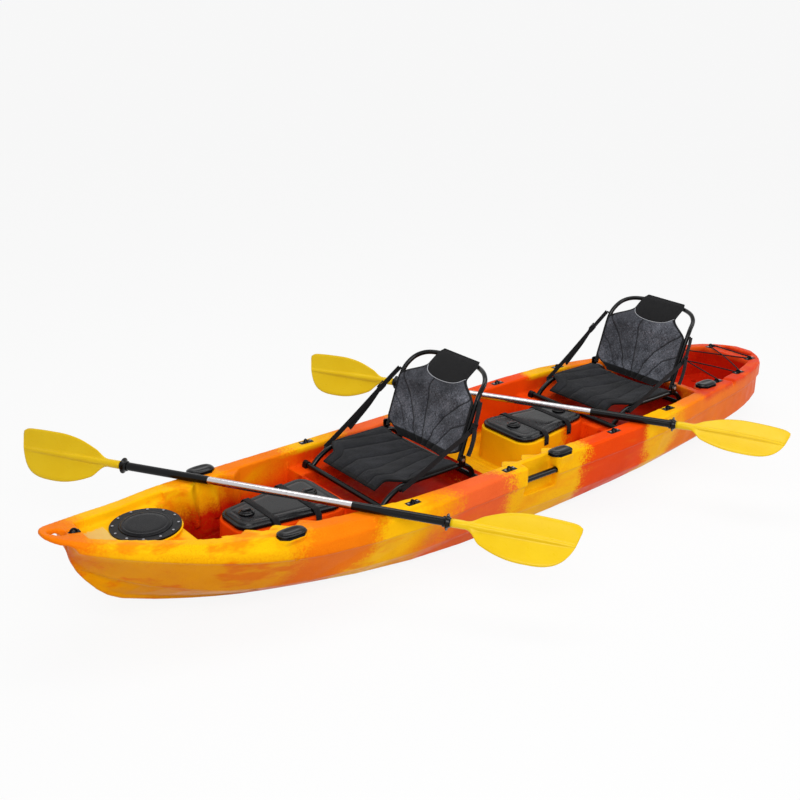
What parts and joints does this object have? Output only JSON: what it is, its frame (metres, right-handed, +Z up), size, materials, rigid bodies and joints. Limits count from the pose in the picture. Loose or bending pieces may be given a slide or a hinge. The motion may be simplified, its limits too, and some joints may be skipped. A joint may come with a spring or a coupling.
{
  "type": "tandem kayak",
  "caption": "Tandem sit-on-top fishing kayak with framed folding seats, strapped console hatches, a round bow hatch, capped rod holders, a stern bungee well and resting two-piece paddles.",
  "frame": {"origin": "on the flat of the keel amidships, at the middle of the length", "axes": "+X towards the bow, +Y to port, +Z up"},
  "size_m": [3.86, 2.0863, 0.693],
  "materials": {
    "hull_plastic": "satin",
    "black_plastic": "satin",
    "lid_plastic": "satin",
    "gloss_plastic": "gloss",
    "gasket_rubber": "matte",
    "webbing": "matte",
    "bungee_cord": "matte",
    "seat_tube": "satin",
    "seat_mesh": "matte",
    "seat_cover": "matte",
    "steel": "satin",
    "shaft_metal": "satin",
    "grip_sleeve": "matte",
    "blade_plastic": "satin"
  },
  "bodies": {
    "boat": {"kayak_hull": "hull_plastic", "bow_hatch_rim": "black_plastic", "bow_hatch_gasket": "gasket_rubber", "console_gaskets": "gasket_rubber", "rod_holders": "black_plastic", "side_grips": "black_plastic", "pad_eyes": "black_plastic", "deck_screws": "steel", "bow_fitting": "black_plastic", "bungee": "bungee_cord", "front_seat_base": "seat_tube", "front_seat_feet": "black_plastic", "front_seat_bolts": "steel", "front_seat_pan": "seat_mesh", "front_seat_straps": "webbing", "front_seat_buckles": "black_plastic", "rear_seat_base": "seat_tube", "rear_seat_feet": "black_plastic", "rear_seat_bolts": "steel", "rear_seat_pan": "seat_mesh", "rear_seat_straps": "webbing", "rear_seat_buckles": "black_plastic"},
    "bow_lid": {"bow_hatch_lid": "black_plastic"},
    "front_lid": {"front_console_lid": "lid_plastic", "front_console_straps": "webbing"},
    "front_knob_fore": {"front_lid_knob_fore": "lid_plastic"},
    "front_knob_aft": {"front_lid_knob_aft": "lid_plastic"},
    "rear_lid": {"rear_console_lid": "lid_plastic", "rear_console_straps": "webbing"},
    "rear_knob_fore": {"rear_lid_knob_fore": "lid_plastic"},
    "rear_knob_aft": {"rear_lid_knob_aft": "lid_plastic"},
    "cap_bow_port": {"rod_cap_bow_port": "gloss_plastic"},
    "cap_bow_starboard": {"rod_cap_bow_starboard": "gloss_plastic"},
    "cap_mid_port": {"rod_cap_mid_port": "gloss_plastic"},
    "cap_mid_starboard": {"rod_cap_mid_starboard": "gloss_plastic"},
    "cap_stern_port": {"rod_cap_stern_port": "gloss_plastic"},
    "cap_stern_starboard": {"rod_cap_stern_starboard": "gloss_plastic"},
    "front_back": {"front_back_frame": "seat_tube", "front_back_cover": "seat_cover"},
    "rear_back": {"rear_back_frame": "seat_tube", "rear_back_cover": "seat_cover"},
    "front_paddle": {"front_shaft_far": "shaft_metal", "front_grip_far": "grip_sleeve", "front_ring_far": "grip_sleeve", "front_blade_far": "blade_plastic"},
    "front_paddle_near": {"front_shaft_near": "shaft_metal", "front_grip_near": "grip_sleeve", "front_ring_near": "grip_sleeve", "front_blade_near": "blade_plastic"},
    "front_paddle_button": {"front_button": "steel"},
    "rear_paddle": {"rear_shaft_far": "shaft_metal", "rear_grip_far": "grip_sleeve", "rear_ring_far": "grip_sleeve", "rear_blade_far": "blade_plastic"},
    "rear_paddle_near": {"rear_shaft_near": "shaft_metal", "rear_grip_near": "grip_sleeve", "rear_ring_near": "grip_sleeve", "rear_blade_near": "blade_plastic"},
    "rear_paddle_button": {"rear_button": "steel"}
  },
  "joints": [
    {"name": "bow_hatch_lift", "type": "slide", "parent": "boat", "child": "bow_lid", "axis": [0, 0, 1], "range_m": [0, 0.25]},
    {"name": "front_lid_lift", "type": "slide", "parent": "boat", "child": "front_lid", "axis": [0, 0, 1], "range_m": [0, 0.04]},
    {"name": "front_knob_fore_turn", "type": "hinge", "parent": "front_lid", "child": "front_knob_fore", "pos_m": [1.138, 0, 0.296], "axis": [0, 0, 1], "range_deg": [0, 90]},
    {"name": "front_knob_aft_turn", "type": "hinge", "parent": "front_lid", "child": "front_knob_aft", "pos_m": [0.852, 0, 0.296], "axis": [0, 0, 1], "range_deg": [0, 90]},
    {"name": "rear_lid_lift", "type": "slide", "parent": "boat", "child": "rear_lid", "axis": [0, 0, 1], "range_m": [0, 0.028]},
    {"name": "rear_knob_fore_turn", "type": "hinge", "parent": "rear_lid", "child": "rear_knob_fore", "pos_m": [-0.25, 0, 0.296], "axis": [0, 0, 1], "range_deg": [0, 90]},
    {"name": "rear_knob_aft_turn", "type": "hinge", "parent": "rear_lid", "child": "rear_knob_aft", "pos_m": [-0.536, 0, 0.296], "axis": [0, 0, 1], "range_deg": [0, 90]},
    {"name": "cap_bow_port_hinge", "type": "hinge", "parent": "boat", "child": "cap_bow_port", "pos_m": [1.205, 0.333, 0.34838], "axis": [0, 1, 0], "range_deg": [0, 90]},
    {"name": "cap_bow_starboard_hinge", "type": "hinge", "parent": "boat", "child": "cap_bow_starboard", "pos_m": [1.205, -0.333, 0.34838], "axis": [0, 1, 0], "range_deg": [0, 90]},
    {"name": "cap_mid_port_hinge", "type": "hinge", "parent": "boat", "child": "cap_mid_port", "pos_m": [-0.097, 0.385, 0.32448], "axis": [0, 1, 0], "range_deg": [0, 90]},
    {"name": "cap_mid_starboard_hinge", "type": "hinge", "parent": "boat", "child": "cap_mid_starboard", "pos_m": [-0.097, -0.385, 0.32448], "axis": [0, 1, 0], "range_deg": [0, 90]},
    {"name": "cap_stern_port_hinge", "type": "hinge", "parent": "boat", "child": "cap_stern_port", "pos_m": [-1.23, 0.251, 0.31828], "axis": [0, 1, 0], "range_deg": [0, 90]},
    {"name": "cap_stern_starboard_hinge", "type": "hinge", "parent": "boat", "child": "cap_stern_starboard", "pos_m": [-1.23, -0.251, 0.31828], "axis": [0, 1, 0], "range_deg": [0, 90]},
    {"name": "front_back_fold", "type": "hinge", "parent": "boat", "child": "front_back", "pos_m": [0.275, 0, 0.358], "axis": [0, 1, 0], "range_deg": [-10, 60], "deforming": ["front_seat_straps", "front_seat_buckles"]},
    {"name": "rear_back_fold", "type": "hinge", "parent": "boat", "child": "rear_back", "pos_m": [-1.041, 0, 0.358], "axis": [0, 1, 0], "range_deg": [-10, 60], "deforming": ["rear_seat_straps", "rear_seat_buckles"]},
    {"name": "front_paddle_lift", "type": "slide", "parent": "boat", "child": "front_paddle", "axis": [0, 0, 1], "range_m": [0, 0.3]},
    {"name": "front_feather", "type": "hinge", "parent": "front_paddle", "child": "front_paddle_near", "pos_m": [1.016, 0.042, 0.35391], "axis": [-0.5675, 0.8227, -0.0333], "range_deg": [-60, 60]},
    {"name": "front_button_press", "type": "slide", "parent": "front_paddle", "child": "front_paddle_button", "axis": [0.0189, -0.0274, -0.9994], "range_m": [0, 0.003], "stiffness_N_per_m": 1500},
    {"name": "rear_paddle_lift", "type": "slide", "parent": "boat", "child": "rear_paddle", "axis": [0, 0, 1], "range_m": [0, 0.3]},
    {"name": "rear_feather", "type": "hinge", "parent": "rear_paddle", "child": "rear_paddle_near", "pos_m": [-0.406, -0.072, 0.33869], "axis": [-0.4695, 0.8829, 0.0054], "range_deg": [-60, 60]},
    {"name": "rear_button_press", "type": "slide", "parent": "rear_paddle", "child": "rear_paddle_button", "axis": [-0.0025, 0.0048, -1], "range_m": [0, 0.003], "stiffness_N_per_m": 1500}
  ]
}
